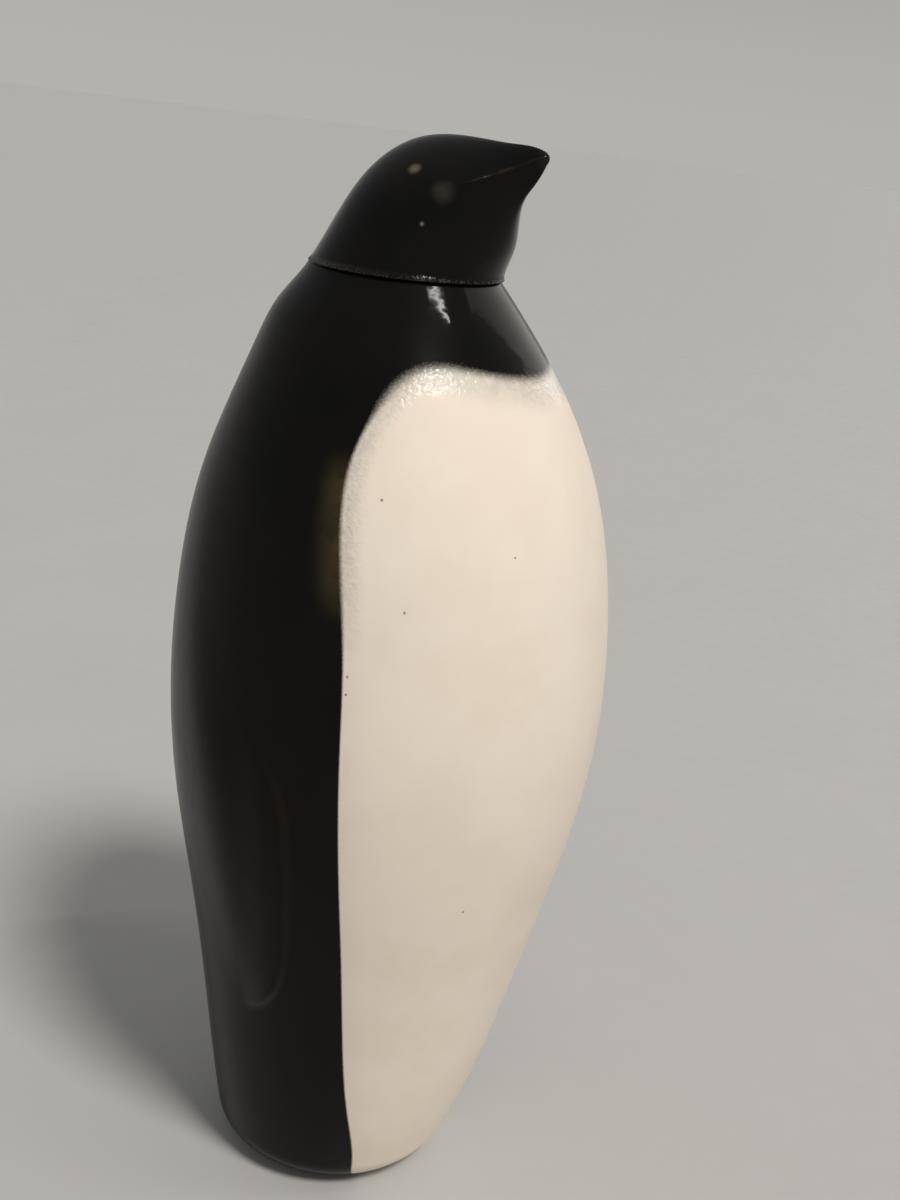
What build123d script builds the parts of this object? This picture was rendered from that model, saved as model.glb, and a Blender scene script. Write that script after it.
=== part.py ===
"""A glazed ceramic penguin: a hollow cast body and a cast head that sits in its neck on a cork sleeve.

Millimetres, +Z up, the bird faces -Y. The origin is on the surface it stands on, under the middle of the belly.
"""

from build123d import *
import os

# Body
body_height = 185.2
body_radius = 42.4
foot_rounding = 10.0
body_wall = 5.0
floor_thickness = 6.0
glaze_thickness = 0.6
dry_foot_height = 0.5
foot_recess_radius = 12.0
foot_recess_depth = 1.5

# Neck of the body
neck_bore_radius = 10.5
neck_bore_length = 15.0
shoulder_cone_height = 8.0
rim_rounding = 0.3

# Head and beak
head_span = 41.6
head_wall = 4.0
spigot_radius = 7.0
spigot_length = 12.0
vent_radius = 3.0
vent_reach = 12.0

# Cork sleeve
cork_length = 14.0
cork_clearance = 0.08
spigot_clearance = 0.05
cork_chamfer = 1.0

# Wings and breast
wing_relief = 1.3
cut_overrun = 20.0

# Body outline from the foot to the neck: height as a share of body_height, then radius and forward lean as
# shares of body_radius
body_height_shares = (0, 0.113, 0.227, 0.34, 0.454, 0.567, 0.681, 0.794, 0.907, 0.974, 0.9935, 1)
body_radius_shares = (0.552, 0.676, 0.77, 0.864, 0.957, 1, 0.976, 0.882, 0.677, 0.493, 0.426, 0.419)
body_lean_shares = (-0.08, -0.03, -0.006, 0.004, 0.004, 0, -0.015, -0.035, -0.08, -0.134, -0.1375, -0.1285)

# Head outline: each section lies in a plane that swings up about a line ahead of the throat. The swing is in
# degrees. The distances of the throat and of the crown from that line, and the half width, are shares of
# head_span. The widest line lies between throat and crown, at a share of the way. The first section is the
# round seam on the neck. The hollow runs from the second section on, by a count of sections.
swing_degrees = (0, 12, 24, 37, 50, 62, 72, 77)
throat_shares = (0.301, 0.291, 0.286, 0.305, 0.357, 0.418, 0.47, 0.52)
crown_shares = (1.155, 1.06, 1.005, 0.916, 0.762, 0.652, 0.602, 0.573)
width_shares = (0.427, 0.389, 0.359, 0.308, 0.213, 0.109, 0.05, 0.022)
widest_shares = (0.5, 0.497, 0.486, 0.462, 0.449, 0.48, 0.56, 0.63)
hollow_section_count = 4
half_turn_degrees = 180

# Breast edge seen from the side: forward place as a share of body_radius, height as a share of body_height
breast_edge_shares = (
    (0.29, 0),
    (0.335, 0.03),
    (0.36, 0.14),
    (0.37, 0.35),
    (0.35, 0.586),
    (0.3, 0.695),
    (0.21, 0.785),
    (0.17, 0.845),
    (0.2, 0.892),
    (0.28, 0.925),
    (0.45, 0.925),
    (0.7, 0.905),
)

# Wing edge seen from the side, in the same shares: from the shoulder down the front edge, round the tip and up
wing_edge_shares = (
    (-0.46, 0.785),
    (-0.37, 0.705),
    (-0.28, 0.656),
    (-0.17, 0.611),
    (-0.03, 0.573),
    (0.1, 0.535),
    (0.15, 0.475),
    (0.145, 0.388),
    (0.105, 0.312),
    (0, 0.265),
    (-0.13, 0.248),
    (-0.27, 0.288),
    (-0.4, 0.378),
    (-0.5, 0.487),
    (-0.57, 0.606),
    (-0.59, 0.715),
    (-0.55, 0.785),
)

# Worked out from the sizes above
neck_y = -body_lean_shares[-1] * body_radius
seam_radius = body_radius_shares[-1] * body_radius
swing_line_y = neck_y - seam_radius - throat_shares[0] * head_span
cork_radius = neck_bore_radius - cork_clearance
neck_bore_bottom = body_height - neck_bore_length


def body_station(index):
    """Height, radius and Y of the centre of one level section of the body."""
    height = body_height_shares[index] * body_height
    radius = body_radius_shares[index] * body_radius
    centre_y = -body_lean_shares[index] * body_radius
    return height, radius, centre_y


def body_form(grow):
    """The body's outline as a solid with a sharp foot edge, grown outward by a distance."""
    sections = []
    for index in range(len(body_height_shares)):
        height, radius, centre_y = body_station(index)
        place = Location((0, centre_y, height))
        sections.append(place * Circle(radius + grow).face())
    return loft(sections)


def rounded_foot(form, rounding):
    """The form with its foot edge rounded."""
    return fillet(form.edges().sort_by(Axis.Z)[0], rounding)


def slab(low, high):
    """All that lies between two levels."""
    side = 4 * (body_radius + cut_overrun)
    return Pos(0, 0, (low + high) / 2) * Box(side, side, high - low)


def round_bar(radius, low, high, centre_y):
    """An upright round bar between two levels."""
    return Pos(0, centre_y, (low + high) / 2) * Cylinder(radius, high - low)


def side_prism(edge_shares, closing, low_x, high_x):
    """A prism along X whose outline is drawn in the side view, smooth through the given shares."""
    points = [(0, -forward * body_radius, up * body_height) for forward, up in edge_shares]
    if closing:
        outline = Wire([Spline(points), *Polyline([points[-1], *closing, points[0]]).edges()])
    else:
        outline = Wire([Spline(points, periodic=True)])
    face = Face(outline)
    return Pos(low_x, 0, 0) * extrude(face, high_x - low_x, dir=(1, 0, 0))


def breast_prism():
    """The space in front of the edge of the white glaze."""
    ahead = -(body_radius + cut_overrun)
    top = breast_edge_shares[-1][1] * body_height
    first_y = -breast_edge_shares[0][0] * body_radius
    closing = [(0, ahead, top), (0, ahead, -cut_overrun), (0, first_y, -cut_overrun)]
    reach = body_radius + cut_overrun
    return side_prism(breast_edge_shares, closing, -reach, reach)


def half_ellipse(half_width, depth, start_degrees):
    """Half of an ellipse about the origin, from one end of its width to the other."""
    return EllipticalCenterArc((0, 0), half_width, depth, start_angle=start_degrees, arc_size=half_turn_degrees)


def head_section(index, inset):
    """One closed section of the head, as a face: two half ellipses that meet at the widest line."""
    throat = throat_shares[index] * head_span + inset
    crown = crown_shares[index] * head_span - inset
    half_width = width_shares[index] * head_span - inset
    if index == 0:
        crown = throat + 2 * (seam_radius - inset)
        half_width = seam_radius - inset
    widest = throat + widest_shares[index] * (crown - throat)
    outward = Vector(0, 1, 0).rotate(Axis.X, swing_degrees[index])
    origin = Vector(0, swing_line_y, body_height) + outward * widest
    plane = Plane(origin=origin, x_dir=(1, 0, 0), z_dir=Vector(1, 0, 0).cross(outward))
    crown_half = half_ellipse(half_width, crown - widest, 0)
    throat_half = half_ellipse(half_width, widest - throat, half_turn_degrees)
    return plane * Face(Wire([crown_half, throat_half]))


def head_form(first, last, inset):
    """The head's outline as a solid, from one section to another, shrunk inward by a distance."""
    return loft([head_section(index, inset) for index in range(first, last + 1)])


def body_casting(biscuit):
    """The hollow body: cast wall, thick floor with a recessed foot, a cone up to the neck, and the neck bore."""
    belly = body_form(-body_wall) & slab(floor_thickness, neck_bore_bottom - shoulder_cone_height)
    belly_top = belly.faces().sort_by(Axis.Z)[-1]
    bore_end = Location((0, neck_y, neck_bore_bottom)) * Circle(neck_bore_radius).face()
    bore = round_bar(neck_bore_radius, neck_bore_bottom, body_height + cut_overrun, neck_y)
    foot_y = body_station(0)[2]
    recess = round_bar(foot_recess_radius, -cut_overrun, foot_recess_depth, foot_y)
    return biscuit - belly - loft([belly_top, bore_end]) - bore - recess


def head_casting(biscuit):
    """The hollow head with its beak, and the spigot under it that carries the cork."""
    spigot_low = body_height - spigot_length
    solid = biscuit + round_bar(spigot_radius, spigot_low, body_height, neck_y)
    solid -= head_form(1, hollow_section_count, head_wall)
    return solid - round_bar(vent_radius, spigot_low, body_height + vent_reach, neck_y)


def stopper_cork():
    """The cork sleeve round the spigot, a running fit in the neck bore."""
    low = body_height - cork_length
    sleeve = round_bar(cork_radius, low, body_height, neck_y)
    sleeve = chamfer(sleeve.edges().sort_by(Axis.Z)[0], cork_chamfer)
    return sleeve - round_bar(spigot_radius + spigot_clearance, low, body_height, neck_y)


def make_nodes():
    """Every piece by its name."""
    last = len(swing_degrees) - 1
    form = rounded_foot(body_form(0), foot_rounding)
    outer = fillet(form.edges().sort_by(Axis.Z)[-1], rim_rounding)
    biscuit = rounded_foot(body_form(-glaze_thickness), foot_rounding - glaze_thickness)
    coat = (outer - biscuit) & slab(dry_foot_height, body_height)
    breast = breast_prism()
    flippers = rounded_foot(body_form(wing_relief), foot_rounding + wing_relief) - form
    reach = body_radius + cut_overrun
    head_outer = head_form(0, last, 0)
    head_biscuit = head_form(0, last - 1, glaze_thickness)
    return {
        "body_casting": body_casting(biscuit),
        "back_glaze": coat - breast,
        "breast_glaze": coat & breast,
        "wing_right": flippers & side_prism(wing_edge_shares, (), -reach, 0),
        "wing_left": flippers & side_prism(wing_edge_shares, (), 0, reach),
        "head_casting": head_casting(head_biscuit),
        "head_glaze": head_outer - head_biscuit,
        "stopper_cork": stopper_cork(),
    }


os.makedirs("parts", exist_ok=True)
for name, shape in make_nodes().items():
    export_step(shape, f"parts/{name}.step")
    print(name, len(shape.solids()), round(shape.volume))
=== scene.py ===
"""A glazed ceramic penguin with a head that lifts out on a cork: surfaces, glazes, light and camera.

Shapes are worked out in millimetres in the part's own frame and scaled to metres when a mesh is made.
"""

import math

import bpy
import numpy as np
from mathutils import Matrix, Quaternion, Vector


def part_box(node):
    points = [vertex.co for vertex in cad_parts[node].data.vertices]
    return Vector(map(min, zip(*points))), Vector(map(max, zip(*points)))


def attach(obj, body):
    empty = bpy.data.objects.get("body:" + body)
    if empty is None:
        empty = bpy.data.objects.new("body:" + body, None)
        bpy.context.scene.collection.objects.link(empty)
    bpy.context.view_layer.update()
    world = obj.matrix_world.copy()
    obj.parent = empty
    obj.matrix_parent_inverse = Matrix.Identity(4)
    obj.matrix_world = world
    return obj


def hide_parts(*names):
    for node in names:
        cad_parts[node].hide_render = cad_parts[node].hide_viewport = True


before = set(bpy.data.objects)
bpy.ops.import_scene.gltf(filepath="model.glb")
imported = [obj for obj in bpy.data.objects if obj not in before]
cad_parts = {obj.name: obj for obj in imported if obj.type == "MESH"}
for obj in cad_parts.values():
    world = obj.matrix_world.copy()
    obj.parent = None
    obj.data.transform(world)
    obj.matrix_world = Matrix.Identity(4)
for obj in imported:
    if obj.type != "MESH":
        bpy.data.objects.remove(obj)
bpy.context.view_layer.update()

MM = 0.001
FULL_TURN = 2 * math.pi
TINY = 1e-12

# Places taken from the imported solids
body_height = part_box("body_casting")[1].z / MM
body_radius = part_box("back_glaze")[1].x / MM
spigot_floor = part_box("head_casting")[0].z / MM

# Body outline, the same shares as the solids
body_height_shares = (0, 0.113, 0.227, 0.34, 0.454, 0.567, 0.681, 0.794, 0.907, 0.974, 0.9935, 1)
body_radius_shares = (0.552, 0.676, 0.77, 0.864, 0.957, 1, 0.976, 0.882, 0.677, 0.493, 0.426, 0.419)
body_lean_shares = (-0.08, -0.03, -0.006, 0.004, 0.004, 0, -0.015, -0.035, -0.08, -0.134, -0.1375, -0.1285)
foot_rounding = 7.2
rim_rounding = 0.12
lip_height = 2.2
seam_clearance = 0.05
dry_foot_height = 0.12
coat_thickness = 0.55

# From the shoulder to the rim the coat leaves the solids' line for a straighter one, after a count of shares
shoulder_count = 9
neck_height_shares = (0.93, 0.961, 0.9935, 1)
neck_radius_shares = (0.6244, 0.5413, 0.4322, 0.4124)
neck_lean_shares = (-0.0985, -0.1219, -0.1303, -0.1348)

# Head outline, the same shares as the solids, and how flat the beak is under and over its crease
head_span = 41.6
swing_degrees = (0, 12, 24, 37, 50, 62, 72, 77)
throat_shares = (0.301, 0.291, 0.286, 0.305, 0.357, 0.418, 0.47, 0.52)
crown_shares = (1.155, 1.06, 1.005, 0.916, 0.762, 0.652, 0.602, 0.573)
width_shares = (0.427, 0.389, 0.359, 0.308, 0.213, 0.109, 0.05, 0.022)
widest_shares = (0.5, 0.497, 0.486, 0.462, 0.449, 0.48, 0.56, 0.63)
crease_shares = (0, 0, 0.04, 0.2, 0.42, 0.55, 0.55, 0.4)
roof_shares = (0, 0, 0.04, 0.25, 0.5, 0.65, 0.6, 0.4)

# Thin glaze along the crease, the head's lower edge, which stands out over the rim, and the rounded beak tip
crease_swing_degrees = (46, 60)
crease_spread_radians = 0.05
skirt_flare = 0.6
skirt_front_share = 0.35
skirt_height = 1.3
skirt_rounding = 0.2
tip_radius = 1.3
tip_end_share = 0.02
tip_swing_degrees = (73, 78)

# The bare head under its glaze, the spigot below it and the vent through that
biscuit_clearance = 0.05
spigot_radius = 7.0
spigot_rounding = 0.6
vent_radius = 3.0
vent_reach = 12.0

# Breast edge and wing edge in the side view: forward place over body_radius, height over body_height
breast_edge_shares = (
    (0.29, 0),
    (0.335, 0.03),
    (0.36, 0.14),
    (0.37, 0.35),
    (0.35, 0.586),
    (0.3, 0.695),
    (0.21, 0.785),
    (0.17, 0.845),
    (0.2, 0.892),
    (0.28, 0.925),
    (0.45, 0.927),
    (0.7, 0.915),
)
wing_edge_shares = (
    (-0.46, 0.785),
    (-0.37, 0.705),
    (-0.28, 0.656),
    (-0.17, 0.611),
    (-0.03, 0.573),
    (0.1, 0.535),
    (0.15, 0.475),
    (0.145, 0.388),
    (0.105, 0.312),
    (0, 0.265),
    (-0.13, 0.248),
    (-0.27, 0.288),
    (-0.4, 0.378),
    (-0.5, 0.487),
    (-0.57, 0.606),
    (-0.59, 0.715),
    (-0.55, 0.785),
)

# Wing relief: how wide its crisp and its soft step are, and where the crisp one lies
wing_relief = 1.25
wing_crisp_width = 1.7
wing_soft_width = 15.0
wing_soft_passes = 30
wing_front_shares = (-0.15, 0.06)
wing_lower_shares = (0.62, 0.5)
wing_thin_gain = 2.2

# Airbrushed edge of the white: how wide it fades low down, at the shoulder and at the top corner, where those
# lie, and the olive fringe on the black beside it
haze_width = 0.2
shoulder_haze_width = 0.3
corner_haze_width = 1.2
corner_fade_share = 0.75
haze_height_shares = (0.62, 0.75)
shoulder_height_shares = (0.62, 0.8)
corner_height_shares = (0.865, 0.925)
corner_forward_shares = (0.25, 0.45)
fringe_width = 5.5
fringe_low_shares = (0.7, 0.745)
fringe_high_shares = (0.86, 0.82)

# Mesh spacing
body_columns = 360
body_row_step = 0.8
lip_row_step = 0.16
rounding_rows = 7
head_columns = 240
head_row_count = 90
seam_swing_degrees = 3.6
seam_row_count = 31
tip_rows = 7
wing_line_count = 240
breast_line_count = 200
line_overlap = 3


def spline(places, values):
    """A smooth curve through values at rising places, as a function that takes an array."""
    places = np.asarray(places, float)
    values = np.asarray(values, float)
    gaps = np.diff(places)
    count = len(places)
    system = np.zeros((count, count))
    target = np.zeros(count)
    for k in range(1, count - 1):
        system[k, k - 1 : k + 2] = gaps[k - 1], 2 * (gaps[k - 1] + gaps[k]), gaps[k]
        target[k] = 6 * ((values[k + 1] - values[k]) / gaps[k] - (values[k] - values[k - 1]) / gaps[k - 1])
    system[0, :3] = gaps[1], -gaps[0] - gaps[1], gaps[0]
    system[-1, -3:] = gaps[-1], -gaps[-1] - gaps[-2], gaps[-2]
    bend = np.linalg.solve(system, target)

    def curve(at):
        at = np.asarray(at, float)
        k = np.clip(np.searchsorted(places, at, side="right") - 1, 0, count - 2)
        gap = gaps[k]
        right = (at - places[k]) / gap
        left = 1 - right
        line = left * values[k] + right * values[k + 1]
        return line + gap**2 / 6 * ((left**3 - left) * bend[k] + (right**3 - right) * bend[k + 1])

    return curve


def smooth_step(value, low, high):
    """0 below low, 1 above high, and a soft step between."""
    share = np.clip((value - low) / (high - low), 0, 1)
    return share * share * (3 - 2 * share)


def outline_points(shares, closed, count):
    """Points along a smooth line through shares of the side view, as (y, z)."""
    places = np.array([(-forward * body_radius, up * body_height) for forward, up in shares])
    if closed:
        places = np.vstack([places[-line_overlap:], places, places[: line_overlap + 1]])
    along = np.concatenate([[0], np.cumsum(np.linalg.norm(np.diff(places, axis=0), axis=1))])
    first = line_overlap if closed else 0
    low, high = along[first], along[-1 - first]
    at = np.linspace(low, high, count)
    return np.stack([spline(along, places[:, axis])(at) for axis in (0, 1)], -1)


def signed_distance(points, line):
    """Distance from points to a closed line in the side view, positive inside it."""
    best = np.full(len(points), np.inf)
    inside = np.zeros(len(points), bool)
    for start, end in zip(line, np.roll(line, -1, axis=0)):
        run = end - start
        share = np.clip(((points - start) @ run) / max(run @ run, TINY), 0, 1)
        best = np.minimum(best, np.linalg.norm(points - start - share[:, None] * run, axis=1))
        if start[1] != end[1]:
            level = (points[:, 1] > min(start[1], end[1])) & (points[:, 1] <= max(start[1], end[1]))
            cross = start[0] + (points[:, 1] - start[1]) / (end[1] - start[1]) * run[0]
            inside ^= level & (points[:, 0] < cross)
    return np.where(inside, best, -best)


def unit(vectors):
    """The vectors scaled to length 1."""
    return vectors / np.maximum(np.linalg.norm(vectors, axis=-1, keepdims=True), TINY)


def grid_normals(places):
    """Outward normals of a grid of places whose columns close round, rows going up."""
    along = np.gradient(places, axis=0)
    around = np.roll(places, -1, axis=1) - np.roll(places, 1, axis=1)
    return unit(np.cross(around, along))


def grid_faces(rows, columns):
    """The quads of a grid whose columns close round, as an array."""
    low = np.arange((rows - 1) * columns).reshape(rows - 1, columns)
    right = np.roll(low, -1, axis=1)
    return np.stack([low, right, right + columns, low + columns], -1).reshape(-1, 4)


class Skin:
    """A surface with, at every point, its place, its normal, the place under it and named values."""

    def __init__(self, data, faces):
        self.data = data
        self.faces = faces

    def split(self, field):
        """Cuts the surface where a named value crosses zero: (the part above, the part below)."""
        level = self.data[field]
        names = list(self.data)
        extra = {name: [] for name in names}
        count = len(level)
        cuts = {}

        def crossing(a, b):
            key = (min(a, b), max(a, b))
            if key not in cuts:
                share = level[key[0]] / (level[key[0]] - level[key[1]])
                for name in names:
                    first, second = (self.data[name][v] for v in key)
                    extra[name].append((1 - share) * first + share * second)
                cuts[key] = count + len(cuts)
            return cuts[key]

        above, below = [], []
        for face in self.faces:
            signs = [level[v] >= 0 for v in face]
            if all(signs):
                above.append(tuple(face))
            elif not any(signs):
                below.append(tuple(face))
            else:
                sides = {True: [], False: []}
                for k, v in enumerate(face):
                    after = face[(k + 1) % len(face)]
                    sides[signs[k]].append(v)
                    if signs[k] != (level[after] >= 0):
                        cut = crossing(v, after)
                        sides[True].append(cut)
                        sides[False].append(cut)
                above.append(tuple(sides[True]))
                below.append(tuple(sides[False]))
        data = {name: np.concatenate([self.data[name], np.array(extra[name])]) for name in names}
        data[field][count:] = 0
        return Skin(data, above).trimmed(), Skin(data, below).trimmed()

    def trimmed(self):
        """The same surface without the points that no face uses."""
        used = sorted({v for face in self.faces for v in face})
        place = {v: k for k, v in enumerate(used)}
        data = {name: values[used] for name, values in self.data.items()}
        faces = [tuple(place[v] for v in face) for face in self.faces]
        return Skin(data, faces)

    def build(self, name, attributes):
        """A closed shell: the surface, the places under it and a strip round each open edge."""
        count = len(self.data["place"])
        faces = [tuple(int(v) for v in face) for face in self.faces]
        edges = {(face[k], face[(k + 1) % len(face)]) for face in faces for k in range(len(face))}
        rim = [(a, b) for a, b in sorted(edges) if (b, a) not in edges]
        under = [tuple(v + count for v in reversed(face)) for face in faces]
        strips = [(b, a, a + count, b + count) for a, b in rim]
        places = np.vstack([self.data["place"], self.data["under"]])
        normals = self.data["normal"]
        loop_normals = [normals[v] for face in faces for v in face]
        loop_normals += [-normals[v - count] for face in under for v in face]
        for strip in strips:
            a, b, c = (places[strip[k]] for k in (0, 1, 2))
            loop_normals += [unit(np.cross(b - a, c - b))] * len(strip)
        values = {key: np.concatenate([self.data[key]] * 2) for key in attributes}
        return mesh_object(name, places, faces + under + strips, loop_normals, values)


def mesh_object(name, places, faces, loop_normals=None, values=None):
    """A mesh object in metres from places in millimetres."""
    mesh = bpy.data.meshes.new(name)
    mesh.from_pydata([tuple(p * MM) for p in np.asarray(places)], [], faces)
    mesh.polygons.foreach_set("use_smooth", [True] * len(mesh.polygons))
    for key, numbers in (values or {}).items():
        layer = mesh.attributes.new(key, "FLOAT", "POINT")
        layer.data.foreach_set("value", np.asarray(numbers, np.float32))
    if loop_normals is not None:
        mesh.normals_split_custom_set([tuple(n) for n in loop_normals])
    mesh.update()
    made = bpy.data.objects.new(name, mesh)
    bpy.context.scene.collection.objects.link(made)
    return made


# Body surface
coat_height_shares = body_height_shares[:shoulder_count] + neck_height_shares
radius_at = spline(coat_height_shares, body_radius_shares[:shoulder_count] + neck_radius_shares)
lean_at = spline(coat_height_shares, body_lean_shares[:shoulder_count] + neck_lean_shares)
neck_y = -body_lean_shares[-1] * body_radius
seam_radius = body_radius_shares[-1] * body_radius


def body_rows():
    """Level, radius and Y of the centre of each row, from the top of the dry foot to the neck rim."""
    quarter = np.linspace(0, math.pi / 2, rounding_rows)
    lip_start = body_height - lip_height
    rim_start = body_height - rim_rounding
    foot_turn = np.linspace(math.acos(1 - dry_foot_height / foot_rounding), math.pi / 2, rounding_rows * 2)
    foot = foot_rounding * (1 - np.cos(foot_turn))
    plain = np.arange(foot_rounding, lip_start, body_row_step)
    lip = np.arange(lip_start, rim_start, lip_row_step)
    levels = np.concatenate([foot[:-1], plain, lip, rim_start + rim_rounding * np.sin(quarter)])
    radii = radius_at(levels / body_height) * body_radius
    lift = np.clip(foot_rounding - levels, 0, None)
    radii -= foot_rounding - np.sqrt(foot_rounding**2 - lift**2)
    rise = np.clip(levels - rim_start, 0, rim_rounding)
    radii -= rim_rounding - np.sqrt(rim_rounding**2 - rise**2)
    return levels, radii, -lean_at(levels / body_height) * body_radius


def ring(levels, radii, centres, columns):
    """Rings of places, the first column at the front."""
    turn = np.linspace(0, FULL_TURN, columns, endpoint=False)
    x = radii[:, None] * np.sin(turn)
    y = centres[:, None] - radii[:, None] * np.cos(turn)
    z = np.repeat(levels[:, None], columns, 1)
    return np.stack([x, y, z], -1)


def wing_field(places, side):
    """Distance inside the wing's edge, positive inside, on one side of the body."""
    line = outline_points(wing_edge_shares, True, wing_line_count)
    flat = places.reshape(-1, 3)
    field = signed_distance(flat[:, 1:], line)
    return np.where(flat[:, 0] * side > 0, field, -np.abs(field) - body_radius).reshape(places.shape[:2])


def softened(values, passes):
    """A grid of values whose columns close round, averaged with its neighbours again and again."""
    for _ in range(passes):
        rows = np.pad(values, ((1, 1), (0, 0)), mode="edge")
        values = (rows[:-2] + 2 * values + rows[2:]) / 4
        values = (np.roll(values, 1, axis=1) + 2 * values + np.roll(values, -1, axis=1)) / 4
    return values


def wing_height(field, places):
    """How far the wing stands out: a crisp step along the lower front edge, a soft one elsewhere."""
    forward = -places[..., 1] / body_radius
    up = places[..., 2] / body_height
    front = smooth_step(forward, *wing_front_shares) * smooth_step(up, *wing_lower_shares)
    crisp = smooth_step(field, -wing_crisp_width / 2, wing_crisp_width / 2)
    soft = softened(smooth_step(field, 0, wing_soft_width), wing_soft_passes)
    return wing_relief * (soft + (crisp - soft) * front)


def body_skin():
    """The whole glazed surface of the body with its paint edge, wing relief and thin places."""
    levels, radii, centres = body_rows()
    base = ring(levels, radii, centres, body_columns)
    flat_normals = grid_normals(base)
    right = wing_field(base, -1)
    left = wing_field(base, 1)
    height = wing_height(right, base) + wing_height(left, base)
    places = base + flat_normals * height[..., None]
    line = outline_points(breast_edge_shares, False, breast_line_count)
    ahead = -2 * body_radius
    loop = np.vstack([line, [(ahead, line[-1, 1]), (ahead, -foot_rounding), (line[0, 0], -foot_rounding)]])
    flat = base.reshape(-1, 3)
    paint = signed_distance(flat[:, 1:], loop)
    up = flat[:, 2] / body_height
    forward = -flat[:, 1] / body_radius
    corner = 1 - corner_fade_share * smooth_step(forward, *corner_forward_shares)
    corner *= smooth_step(up, *corner_height_shares)
    haze = haze_width + corner_haze_width * corner
    haze += shoulder_haze_width * smooth_step(up, *haze_height_shares)
    fringe = smooth_step(up, *fringe_low_shares) * smooth_step(up, *fringe_high_shares)
    slope = np.gradient(height, axis=1).reshape(-1)
    data = {
        "place": places.reshape(-1, 3),
        "normal": grid_normals(places).reshape(-1, 3),
        "under": (base - flat_normals * coat_thickness).reshape(-1, 3),
        "paint": paint,
        "haze": haze,
        "fringe": smooth_step(paint, -fringe_width, 0) * fringe,
        "shoulder": smooth_step(up, *shoulder_height_shares),
        "thin": np.clip(np.abs(slope) * wing_thin_gain, 0, 1),
        "right": right.reshape(-1),
        "left": left.reshape(-1),
    }
    return Skin(data, grid_faces(len(levels), body_columns))


# Head surface
swing_line_y = neck_y - seam_radius - throat_shares[0] * head_span


def head_rows():
    """Swing angles of the head's rows, close together over the rounded lower edge."""
    seam = np.linspace(0, seam_swing_degrees, seam_row_count)
    above = np.linspace(seam_swing_degrees, swing_degrees[-1], head_row_count)
    return np.radians(np.concatenate([seam, above[1:]]))


def beak_tip(last, onward, half_depth):
    """Rows that close the beak beyond its last row of places, rounded over the tip."""
    centre = last.mean(axis=0)
    start = math.sqrt(tip_radius**2 - half_depth**2)
    rows = []
    for k in range(1, tip_rows + 1):
        shrink = max(math.cos(math.pi / 2 * k / tip_rows), tip_end_share)
        rise = math.sqrt(tip_radius**2 - (half_depth * shrink) ** 2) - start
        rows.append(centre + (last - centre) * shrink + onward * rise)
    return np.array(rows)


def flared(places):
    """The head's places with its lower edge standing out a little, most at the sides, and rounded under."""
    out = places - np.array([0, neck_y, 0])
    out[..., 2] = 0
    out = unit(out)
    rise = places[..., 2] - body_height
    sides = skirt_front_share + (1 - skirt_front_share) * out[..., 0] ** 2
    flare = skirt_flare * sides * (1 - np.clip(rise / skirt_height, 0, 1)) ** 2
    lift = np.clip(skirt_rounding - rise, 0, skirt_rounding)
    flare -= skirt_rounding - np.sqrt(skirt_rounding**2 - lift**2)
    return places + out * flare[..., None]


def head_grid(inset):
    """The head's surface as rows of places: the glazed one without an inset, or one that lies under it."""
    swings = head_rows()
    degrees = np.degrees(swings)
    tables = (throat_shares, crown_shares, width_shares, widest_shares, crease_shares, roof_shares)
    throat, crown, width, widest, crease, roof = (spline(swing_degrees, table)(degrees) for table in tables)
    throat, crown, width = (value * head_span for value in (throat, crown, width))
    crown[0] = throat[0] + 2 * seam_radius
    width[0] = seam_radius
    middle = throat + widest * (crown - throat)
    turn = np.linspace(0, FULL_TURN, head_columns, endpoint=False)
    across = np.cos(turn)[None] * np.ones(len(swings))[:, None]
    depth = np.sin(turn)[None] * np.ones(len(swings))[:, None]
    straight = np.sign(across) * (1 - np.abs(depth))
    below = depth < 0
    keen = np.clip(np.where(below, crease[:, None], roof[:, None]), 0, 1)
    across = width[:, None] * ((1 - keen) * across + keen * straight)
    span = np.where(below, (middle - throat)[:, None], (crown - middle)[:, None])
    reach = middle[:, None] + span * depth
    y = swing_line_y + reach * np.cos(swings)[:, None]
    z = body_height + reach * np.sin(swings)[:, None]
    places = np.stack([across, y, z], -1)
    onward = np.array([0, -math.sin(swings[-1]), math.cos(swings[-1])])
    tip = beak_tip(places[-1], onward, (crown[-1] - throat[-1]) / 2)
    places = np.concatenate([places, tip])
    if not inset:
        return flared(places)
    places = places - grid_normals(places) * inset
    places[0, :, 2] = body_height
    return places


def head_skin():
    """The glazed surface of the head."""
    places = head_grid(0)
    under = head_grid(coat_thickness)
    rows, columns = places.shape[:2]
    turn = np.linspace(0, FULL_TURN, columns, endpoint=False)
    swing = np.concatenate([np.degrees(head_rows()), np.full(tip_rows, tip_swing_degrees[1])])
    off_crease = np.minimum(np.abs(turn - math.pi), np.minimum(turn, FULL_TURN - turn))
    ridge = np.exp(-((off_crease / crease_spread_radians) ** 2))
    thin = ridge[None] * smooth_step(swing, *crease_swing_degrees)[:, None]
    lower = smooth_step(skirt_height + body_height - places[..., 2], 0, skirt_height)
    data = {
        "place": places.reshape(-1, 3),
        "normal": grid_normals(places).reshape(-1, 3),
        "under": under.reshape(-1, 3),
        "thin": thin.reshape(-1),
        "rough": lower.reshape(-1),
        "tip": np.repeat(smooth_step(swing, *tip_swing_degrees), columns),
    }
    faces = [tuple(face) for face in grid_faces(rows, columns)]
    faces.append(tuple((rows - 1) * columns + k for k in range(columns)))
    return Skin(data, faces)


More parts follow.
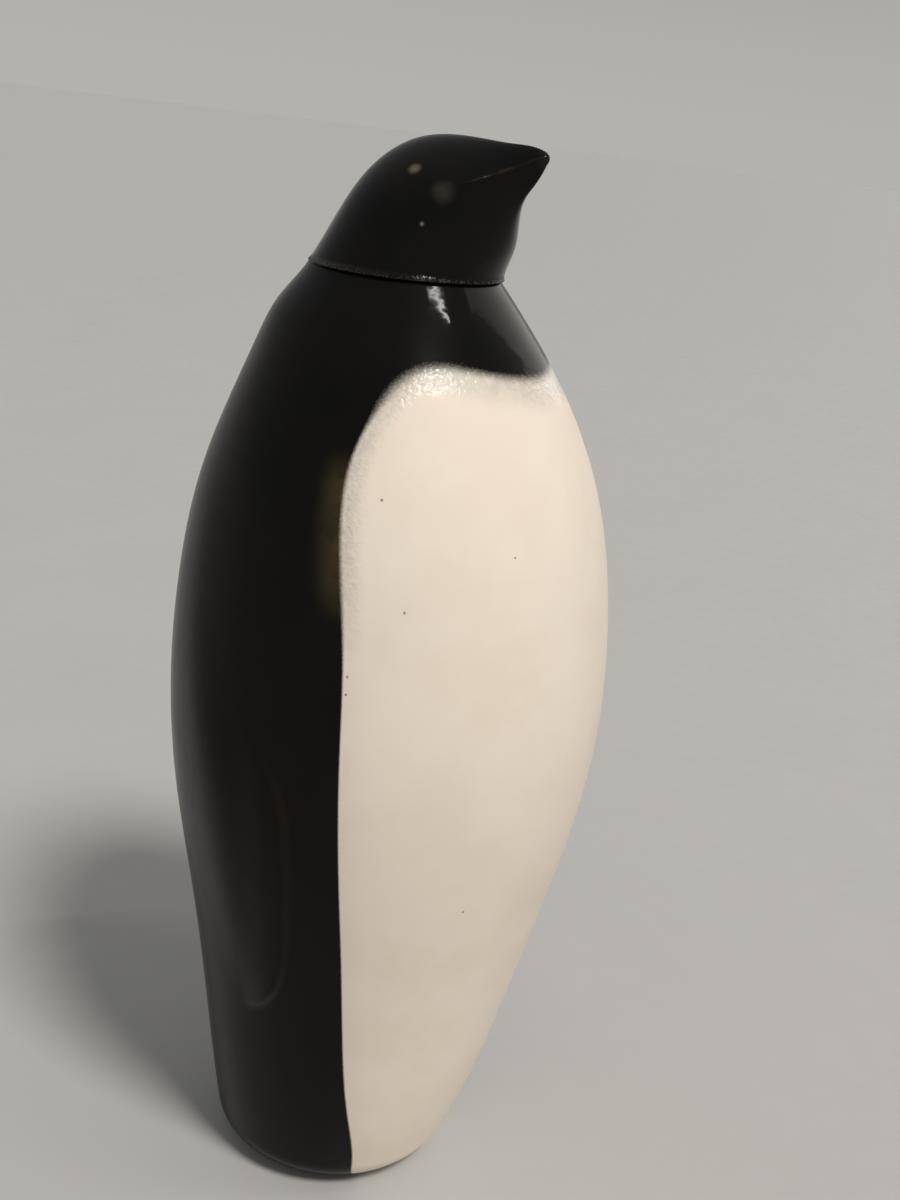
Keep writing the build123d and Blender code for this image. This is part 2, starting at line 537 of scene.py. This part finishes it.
def head_biscuit():
    """The bare head under its glaze, with the spigot and its vent, as one closed mesh."""
    seam = body_height + seam_clearance
    shell = head_grid(coat_thickness + biscuit_clearance)
    shell[..., 2] = np.maximum(shell[..., 2], seam)
    columns = shell.shape[1]
    turn = np.arctan2(shell[0, :, 0], shell[0, :, 1] - neck_y)
    spigot = [(spigot_radius, seam)]
    for k in range(rounding_rows):
        angle = math.pi / 2 * k / (rounding_rows - 1)
        radius = spigot_radius - spigot_rounding * (1 - math.cos(angle))
        spigot.append((radius, spigot_floor + spigot_rounding * (1 - math.sin(angle))))
    spigot += [(vent_radius, spigot_floor), (vent_radius, body_height + vent_reach)]
    rings = []
    for radius, level in reversed(spigot):
        x = radius * np.sin(turn)
        y = neck_y + radius * np.cos(turn)
        rings.append(np.stack([x, y, np.full(columns, level)], -1))
    stack = rings + list(shell)
    places = np.concatenate(stack)
    faces = [tuple(face) for face in grid_faces(len(stack), columns)]
    last = (len(stack) - 1) * columns
    faces.append(tuple(last + k for k in range(columns)))
    faces.append(tuple(reversed(range(columns))))
    return mesh_object("head_biscuit", places, faces)


# Materials
class Nodes:
    """A material's node tree, with short calls that add nodes to it."""

    def __init__(self, name):
        self.material = bpy.data.materials.new(name)
        self.material.use_nodes = True
        self.tree = self.material.node_tree
        self.tree.nodes.clear()
        self.shader = self.add("ShaderNodeBsdfPrincipled")
        output = self.add("ShaderNodeOutputMaterial")
        self.tree.links.new(self.shader.outputs[0], output.inputs["Surface"])
        self.place = self.add("ShaderNodeTexCoord").outputs["Object"]

    def add(self, kind, **settings):
        """A new node with its settings."""
        node = self.tree.nodes.new(kind)
        for key, value in settings.items():
            setattr(node, key, value)
        return node

    def feed(self, socket, value):
        """Links another socket to this one, or sets it to a constant."""
        if isinstance(value, bpy.types.NodeSocket):
            self.tree.links.new(value, socket)
        else:
            socket.default_value = value

    def math(self, operation, *values):
        """The result of one operation on numbers or sockets."""
        node = self.add("ShaderNodeMath", operation=operation)
        for socket, value in zip(node.inputs, values):
            self.feed(socket, value)
        return node.outputs[0]

    def value(self, name):
        """A named value that the mesh carries."""
        return self.add("ShaderNodeAttribute", attribute_name=name).outputs["Fac"]

    def noise(self, size, detail=2.0, roughness=0.5):
        """Noise from 0 to 1 whose features are about the given size in millimetres."""
        node = self.add("ShaderNodeTexNoise")
        self.feed(node.inputs["Vector"], self.place)
        node.inputs["Scale"].default_value = 1 / (size * MM)
        node.inputs["Detail"].default_value = detail
        node.inputs["Roughness"].default_value = roughness
        return node.outputs["Fac"]

    def cells(self, size, output="Distance", feature="F1"):
        """Voronoi cells about the given size in millimetres."""
        node = self.add("ShaderNodeTexVoronoi", feature=feature)
        self.feed(node.inputs["Vector"], self.place)
        node.inputs["Scale"].default_value = 1 / (size * MM)
        return node.outputs[output]

    def ramp(self, value, low, high, start=0.0, end=1.0):
        """A soft step from start to end as a value goes from low to high."""
        node = self.add("ShaderNodeMapRange", interpolation_type="SMOOTHSTEP")
        sockets = ("Value", "From Min", "From Max", "To Min", "To Max")
        for key, number in zip(sockets, (value, low, high, start, end)):
            self.feed(node.inputs[key], number)
        return node.outputs["Result"]

    def spot(self, place, radius, core, strength):
        """A round spot about a place in millimetres, full over its core and gone at its radius."""
        node = self.add("ShaderNodeVectorMath", operation="DISTANCE")
        self.feed(node.inputs[0], self.place)
        node.inputs[1].default_value = Vector(place) * MM
        return self.ramp(node.outputs["Value"], radius * MM, radius * core * MM, 0, strength)

    def mix(self, share, first, second):
        """Two colours mixed by a share of the second."""
        node = self.add("ShaderNodeMix", data_type="RGBA")
        for socket, value in zip((node.inputs[0], node.inputs[6], node.inputs[7]), (share, first, second)):
            self.feed(socket, value)
        return node.outputs[2]

    def bump(self, height, depth, under=None):
        """A bump of the given depth in millimetres, over an earlier one."""
        node = self.add("ShaderNodeBump")
        node.inputs["Strength"].default_value = 1
        node.inputs["Distance"].default_value = depth * MM
        self.feed(node.inputs["Height"], height)
        if under is not None:
            self.feed(node.inputs["Normal"], under)
        return node.outputs["Normal"]

    def coat(self, weight, roughness, normal):
        """A clear glossy layer over the colour."""
        self.feed(self.shader.inputs["Coat Weight"], weight)
        self.feed(self.shader.inputs["Coat Roughness"], roughness)
        self.feed(self.shader.inputs["Coat Normal"], normal)
        self.shader.inputs["Coat IOR"].default_value = coat_ior

    def finish(self, colour, roughness, normal, ior=1.5):
        """The finished material."""
        self.feed(self.shader.inputs["Base Color"], colour)
        self.feed(self.shader.inputs["Roughness"], roughness)
        self.feed(self.shader.inputs["Normal"], normal)
        self.shader.inputs["IOR"].default_value = ior
        return self.material


# How strongly the glazes mirror, and their colours
coat_ior = 1.33
black_ior = 1.1
white_ior = 1.3
black = (0.0028, 0.0026, 0.0024, 1)
warm_black = (0.0042, 0.0034, 0.0028, 1)
cream = (0.83, 0.735, 0.63, 1)
cream_shade = (0.8, 0.7, 0.59, 1)
veil_grey = (0.46, 0.45, 0.39, 1)
fringe_olive = (0.048, 0.036, 0.014, 1)
thin_brown = (0.085, 0.048, 0.022, 1)
speck_brown = (0.09, 0.06, 0.04, 1)
# Colour of the painted warm reflections and painted glint on the head
painted_reflection_brown = (0.32, 0.26, 0.2, 1)
# Grey of the lighter flecks over the head's rough lower edge
edge_fleck_grey = (0.3, 0.27, 0.23, 1)

# Pits in the white, and painted warm reflections and a painted glint on the head, by place in millimetres,
# the latter with radius and strength
pit_radius = 0.32
pit_core_share = 0.4
pit_strength = 0.8
breast_pits = (
    (-18.3, -32.4, 143.2),
    (-21.4, -33.1, 76.1),
    (-33.8, -21.0, 134.0),
    (-39.2, -14.6, 119.0),
    (-39.0, -14.4, 122.1),
    (-32.5, -13.7, 151.5),
)
painted_reflection_core_share = 0.1
# Two painted warm reflections and one small painted glint on the head, each with its radius and strength
painted_reflection_spots = (
    ((-11.3, -0.5, 203.8), 1.8, 0.5),
    ((-11.8, -7.1, 200.1), 2.8, 0.07),
    ((-13.6, -4.8, 194.6), 0.65, 1),
)

# Grain of the body's glaze, in millimetres: sizes and depths, how far a veil of black reaches over the white
# and where the pebbled band lies along the paint edge
spray_size = 0.35
mottle_size = 17
tone_size = 24
fringe_size = 3
veil_size = 1.6
veil_reach = 4.2
veil_core = 0.2
ripple_size = 5
ripple_depth = 0.04
orange_peel_size = 1.4
orange_peel_depth = 0.004
pebble_size = 0.9
pebble_depth = 0.2
pebble_middle = 1.4
pebble_reach = 3.4
pebble_core = 0.6

# Grain of the head's glaze
head_tone_size = 14
crease_tone_size = 3
edge_fleck_size = 0.45
head_ripple_size = 6
head_ripple_depth = 0.05
rough_edge_size = 0.7
rough_edge_depth = 0.4

# Bare clay: tones, pores and grain
biscuit_tan = (0.6, 0.49, 0.37, 1)
biscuit_pale = (0.74, 0.65, 0.53, 1)
pore_brown = (0.3, 0.21, 0.14, 1)
clay_tone_size = 6
clay_rough_size = 1.2
clay_grain_size = 0.5
clay_grain_depth = 0.05
pore_spacing = 2.4
pore_share = 0.09
pore_depth = 0.05

# Cork: granules, the dark seams between them and their grain
cork_dark = (0.32, 0.19, 0.095, 1)
cork_light = (0.62, 0.43, 0.25, 1)
cork_fleck = (0.22, 0.12, 0.06, 1)
cork_seam = (0.09, 0.045, 0.022, 1)
granule_size = 2.1
granule_seam_share = 0.09
granule_seam_depth = 0.2
cork_fleck_size = 0.6
cork_rough_size = 1.5
cork_grain_size = 0.5
cork_grain_depth = 0.12

# Floor
floor_low = (0.45, 0.445, 0.43, 1)
floor_high = (0.475, 0.47, 0.455, 1)
floor_tone_size = 60
floor_rough_size = 9
floor_grain_size = 3
floor_grain_depth = 0.02

# Values that the meshes carry for their glazes
paint_values = ("paint", "haze", "thin", "fringe", "shoulder")
head_values = ("thin", "rough", "tip")


def body_glaze(name, ior):
    """Black and white glaze in one finish, told apart by the values on the mesh."""
    n = Nodes(name)
    paint, haze, thin, fringe, shoulder = (n.value(key) for key in paint_values)
    grain = n.math("MULTIPLY", n.math("SUBTRACT", n.noise(spray_size, 3, 0.7), 0.5), 1.1)
    share = n.math("ADD", n.math("DIVIDE", paint, haze), grain)
    white = n.ramp(share, -1, 1)
    mottle = n.ramp(n.noise(mottle_size, 3, 0.6), 0.38, 0.68)
    pale = n.mix(mottle, cream, cream_shade)
    patches = n.ramp(n.noise(veil_size, 4, 0.7), 0.25, 0.7, 0.35, 1)
    veil = n.math("MULTIPLY", n.ramp(paint, veil_reach, veil_core), patches)
    pale = n.mix(n.math("MULTIPLY", veil, n.ramp(shoulder, 0, 1, 0.12, 0.75)), pale, veil_grey)
    for place in breast_pits:
        pale = n.mix(n.spot(place, pit_radius, pit_core_share, pit_strength), pale, speck_brown)
    dark = n.mix(n.ramp(n.noise(tone_size), 0.4, 0.7), black, warm_black)
    patches = n.ramp(n.noise(fringe_size), 0.3, 0.6, 0.6, 0.95)
    dark = n.mix(n.math("MULTIPLY", fringe, patches), dark, fringe_olive)
    dark = n.mix(n.math("MULTIPLY", thin, 0.04), dark, thin_brown)
    colour = n.mix(white, dark, pale)
    ripple = n.noise(ripple_size)
    edge = n.math("ABSOLUTE", n.math("SUBTRACT", paint, pebble_middle))
    edge = n.math("MULTIPLY", n.ramp(edge, pebble_reach, pebble_core), shoulder)
    rough = n.math("ADD", n.ramp(white, 0, 1, 0.3, 0.48), n.math("MULTIPLY", ripple, 0.08))
    rough = n.math("SUBTRACT", rough, n.math("MULTIPLY", edge, 0.24))
    normal = n.bump(ripple, ripple_depth)
    normal = n.bump(n.noise(orange_peel_size), orange_peel_depth, normal)
    normal = n.bump(n.math("MULTIPLY", n.noise(pebble_size, 2, 0.6), edge), pebble_depth, normal)
    cover = n.math("MAXIMUM", n.ramp(white, 0, 1, 0.35, 0), n.math("MULTIPLY", edge, 0.8))
    n.coat(cover, n.ramp(ripple, 0.2, 0.8, 0.04, 0.07), normal)
    return n.finish(colour, rough, normal, ior)


def head_glaze():
    """Deep black gloss that thins to brown along the beak's crease and is rough round the lower edge."""
    n = Nodes("head_gloss")
    thin, edge, tip = (n.value(key) for key in head_values)
    dark = n.mix(n.ramp(n.noise(head_tone_size), 0.42, 0.66), black, warm_black)
    patches = n.ramp(n.noise(crease_tone_size), 0.3, 0.7, 0, 0.3)
    dark = n.mix(n.math("MULTIPLY", thin, patches), dark, thin_brown)
    # Spots of painted warm reflection and one painted glint on the glossy black
    for place, radius, strength in painted_reflection_spots:
        dark = n.mix(n.spot(place, radius, painted_reflection_core_share, strength), dark, painted_reflection_brown)
    # Lighter grey flecks over the rough lower edge of the head
    edge_flecks = n.math("MULTIPLY", n.ramp(n.noise(edge_fleck_size), 0.45, 0.75), edge)
    colour = n.mix(n.math("MULTIPLY", edge_flecks, 0.12), dark, edge_fleck_grey)
    ripple = n.noise(head_ripple_size)
    rough = n.math("ADD", 0.22, n.math("MULTIPLY", ripple, 0.06))
    rough = n.math("ADD", rough, n.math("MULTIPLY", edge, 0.2))
    normal = n.bump(ripple, head_ripple_depth)
    normal = n.bump(n.math("MULTIPLY", n.noise(rough_edge_size), edge), rough_edge_depth, normal)
    blur = n.math("MAXIMUM", edge, n.math("MULTIPLY", tip, 0.5))
    n.coat(n.ramp(tip, 0, 1, 0.45, 1), n.ramp(blur, 0, 1, 0.05, 0.16), normal)
    return n.finish(colour, rough, normal, black_ior)


def biscuit():
    """Dry unglazed clay: fine grain, cloudy tone and small pores."""
    n = Nodes("dry_biscuit")
    colour = n.mix(n.noise(clay_tone_size, 4, 0.6), biscuit_tan, biscuit_pale)
    pores = n.math("LESS_THAN", n.cells(pore_spacing), pore_share)
    colour = n.mix(n.math("MULTIPLY", pores, 0.5), colour, pore_brown)
    rough = n.ramp(n.noise(clay_rough_size), 0.2, 0.8, 0.72, 0.92)
    normal = n.bump(n.noise(clay_grain_size, 3), clay_grain_depth)
    normal = n.bump(n.math("SUBTRACT", 1, pores), pore_depth, normal)
    return n.finish(colour, rough, normal)


def cork():
    """Agglomerated cork: granules of several browns with dark seams and pits between them."""
    n = Nodes("pressed_cork")
    tone = n.add("ShaderNodeSeparateColor")
    n.feed(tone.inputs[0], n.cells(granule_size, "Color"))
    colour = n.mix(tone.outputs[0], cork_dark, cork_light)
    colour = n.mix(n.ramp(n.noise(cork_fleck_size, 3), 0.45, 0.7, 0, 0.5), colour, cork_fleck)
    seam = n.ramp(n.cells(granule_size, "Distance", "DISTANCE_TO_EDGE"), 0, granule_seam_share, 1, 0)
    colour = n.mix(n.math("MULTIPLY", seam, 0.75), colour, cork_seam)
    rough = n.ramp(n.noise(cork_rough_size), 0.3, 0.7, 0.75, 0.95)
    normal = n.bump(n.noise(cork_grain_size, 3), cork_grain_depth)
    normal = n.bump(n.math("SUBTRACT", 1, seam), granule_seam_depth, normal)
    return n.finish(colour, rough, normal)


def floor_paint():
    """A pale matt sheet with the faintest unevenness."""
    n = Nodes("pale_sheet")
    colour = n.mix(n.noise(floor_tone_size, 3), floor_low, floor_high)
    rough = n.ramp(n.noise(floor_rough_size), 0.3, 0.7, 0.6, 0.75)
    return n.finish(colour, rough, n.bump(n.noise(floor_grain_size), floor_grain_depth))


def dress(made, body, slot_name, finish, *nodes):
    """A made piece takes its finish, rides on its body and stands for its solids."""
    made.data.materials.append(finish)
    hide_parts(*nodes)
    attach(made, body)


def dress_solid(node, finish):
    """A solid that stays takes a better material."""
    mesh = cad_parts[node].data
    mesh.materials.clear()
    mesh.materials.append(finish)


breast, back = body_skin().split("paint")
right_wing, back = back.split("right")
left_wing, back = back.split("left")
back_finish = body_glaze("back_glaze_finish", black_ior)
breast_finish = body_glaze("breast_glaze_finish", white_ior)
dress(breast.build("breast_coat", paint_values), "root", "white_glaze", breast_finish, "breast_glaze")
dress(back.build("back_coat", paint_values), "root", "black_glaze", back_finish, "back_glaze")
dress(right_wing.build("wing_right_coat", paint_values), "root", "black_glaze", back_finish, "wing_right")
dress(left_wing.build("wing_left_coat", paint_values), "root", "black_glaze", back_finish, "wing_left")
dress(head_skin().build("head_coat", head_values), "head", "black_glaze", head_glaze(), "head_glaze")
bare = biscuit()
dress(head_biscuit(), "head", "biscuit", bare, "head_casting")
dress_solid("body_casting", bare)
dress_solid("stopper_cork", cork())

# Floor rings in metres
floor_ring_radii = (0.05, 0.15, 0.4, 1, 2.5, 7, 30)
floor_columns = 64


def round_floor():
    """A round sheet of rings under the object."""
    radii = np.array(floor_ring_radii) / MM
    rings = ring(np.zeros(len(radii)), radii, np.zeros(len(radii)), floor_columns)
    faces = [tuple(face) for face in grid_faces(len(radii), floor_columns)]
    faces.append(tuple(reversed(range(floor_columns))))
    return mesh_object("pale_floor", rings.reshape(-1, 3), faces)


sheet = round_floor()
sheet.data.materials.append(floor_paint())


def aim(azimuth, elevation):
    """The direction from the object towards a light: azimuth 0 is ahead of the bird, 90 is its left."""
    a, e = math.radians(azimuth), math.radians(elevation)
    return Vector((math.sin(a) * math.cos(e), -math.cos(a) * math.cos(e), math.sin(e)))


class Sky(Nodes):
    """The world's node tree, with the same short calls."""

    def __init__(self, name):
        world = bpy.data.worlds.new(name)
        world.use_nodes = True
        self.tree = world.node_tree
        self.tree.nodes.clear()
        self.direction = self.add("ShaderNodeTexCoord").outputs["Generated"]
        self.background = self.add("ShaderNodeBackground")
        output = self.add("ShaderNodeOutputWorld")
        self.tree.links.new(self.background.outputs[0], output.inputs["Surface"])
        bpy.context.scene.world = world

    def along(self, direction):
        """How far the looked-at direction lies along another."""
        node = self.add("ShaderNodeVectorMath", operation="DOT_PRODUCT")
        self.feed(node.inputs[0], self.direction)
        node.inputs[1].default_value = direction
        return node.outputs["Value"]


def sky():
    """Even surroundings that darken a little overhead, and the panel that the shoulder mirrors."""
    n = Sky("studio")
    up = n.along(Vector((0, 0, 1)))
    ahead = n.along(aim(panel_azimuth, 0))
    far = n.math("MAXIMUM", ahead, least_ahead)
    across = n.math("DIVIDE", n.along(aim(panel_azimuth + 90, 0)), far)
    above = n.math("DIVIDE", up, far)
    slant = n.math("MULTIPLY_ADD", above, panel_slant, across)
    left = n.ramp(slant, panel_left - panel_softness, panel_left)
    sides = n.math("MULTIPLY", left, n.ramp(across, panel_right, panel_right - panel_softness))
    bottom = n.ramp(above, panel_bottom - panel_softness, panel_bottom)
    top = n.ramp(above, panel_top, panel_top - panel_softness)
    panel = n.math("MULTIPLY", sides, n.math("MULTIPLY", bottom, top))
    panel = n.math("MULTIPLY", panel, n.ramp(ahead, 0, panel_fade))
    mirrored = n.add("ShaderNodeLightPath").outputs["Is Glossy Ray"]
    shade = n.mix(n.ramp(up, 0, horizon_reach), horizon_grey, zenith_grey)
    shade = n.mix(n.math("MULTIPLY", panel, mirrored), shade, panel_white)
    n.feed(n.background.inputs["Color"], shade)


def lamp(name, kind, towards, distance, turn=0.0, **settings):
    """A lamp that faces the middle of the object, turned about its own beam by some degrees."""
    data = bpy.data.lights.new(name, kind)
    for key, value in settings.items():
        setattr(data, key, value)
    made = bpy.data.objects.new(name, data)
    made.location = Vector((0, 0, body_height / 2 * MM)) + towards * distance
    made.rotation_mode = "QUATERNION"
    roll = Quaternion((0, 0, 1), math.radians(turn))
    made.rotation_quaternion = towards.to_track_quat("Z", "Y") @ roll
    bpy.context.scene.collection.objects.link(made)
    return made


# The panel's middle in degrees and its extent as slopes from there, with a left edge that leans as it rises,
# then the surroundings' brightness
panel_azimuth = 80
panel_left = 0.094
panel_slant = 0.61
panel_right = 0.36
panel_bottom = 0.06
panel_top = 1.45
panel_softness = 0.02
panel_fade = 0.1
least_ahead = 0.01
panel_white = (1.55, 1.5, 1.4, 1)
horizon_grey = (0.458, 0.446, 0.419, 1)
zenith_grey = (0.34, 0.34, 0.34, 1)
horizon_reach = 0.25

# Lamps: a soft key that the glaze doesn't mirror, a thin strip that shows as a streak on the shoulder, and a
# disc that glitters on the pebbled edge, aimed by azimuth and elevation in degrees and with sizes in metres
lamp_distance = 2
lamp_white = (1, 0.97, 0.93)
key_aim = (-26, 55)
key_white = (1, 0.965, 0.92)
key_settings = {"energy": 2.38, "angle": math.radians(13), "color": key_white}
strip_aim = (3.5, 65.5)
strip_turn_degrees = 49
strip_size = {"size": 0.024, "size_y": 0.44}
strip_settings = {"shape": "RECTANGLE", "energy": 2.3, "color": lamp_white, **strip_size}
glint_aim = (-30, 52.5)
glint_settings = {"shape": "DISK", "size": 0.34, "energy": 15.5, "color": lamp_white}

sky()
key = lamp("key", "SUN", aim(*key_aim), lamp_distance, **key_settings)
key.visible_glossy = False
lamp("strip", "AREA", aim(*strip_aim), lamp_distance, strip_turn_degrees, **strip_settings)
glint = lamp("glint", "AREA", aim(*glint_aim), lamp_distance, **glint_settings)
glint.visible_diffuse = False

# The camera's place and turn and its focal length, as read from the photograph, its sensor's width in
# millimetres and how near and far it sees in metres
camera_place = (-224.4, -128.3, 210.8)
camera_yaw = math.radians(-62.52)
camera_pitch = math.radians(18.6)
camera_roll = math.radians(6.9)
focal_pixels = 1400
photo_height_pixels = 1200
sensor_width = 36
nearest_seen = 0.01
farthest_seen = 100


def set_camera():
    """A camera where the photograph was taken from."""
    data = bpy.data.cameras.new("photo_camera")
    data.sensor_width = sensor_width
    data.lens = focal_pixels / photo_height_pixels * sensor_width
    data.clip_start = nearest_seen
    data.clip_end = farthest_seen
    level = Vector((math.cos(camera_yaw), math.sin(camera_yaw), 0))
    ahead = Vector((-math.sin(camera_yaw), math.cos(camera_yaw), 0))
    forward = ahead * math.cos(camera_pitch) - Vector((0, 0, math.sin(camera_pitch)))
    above = level.cross(forward)
    right = level * math.cos(camera_roll) + above * math.sin(camera_roll)
    up = above * math.cos(camera_roll) - level * math.sin(camera_roll)
    made = bpy.data.objects.new("photo_camera", data)
    turn = Matrix((right, up, -forward)).transposed().to_4x4()
    made.matrix_world = Matrix.Translation(Vector(camera_place) * MM) @ turn
    bpy.context.scene.collection.objects.link(made)
    bpy.context.scene.camera = made


set_camera()
bpy.context.scene.view_settings.view_transform = "Standard"

bpy.context.view_layer.update()
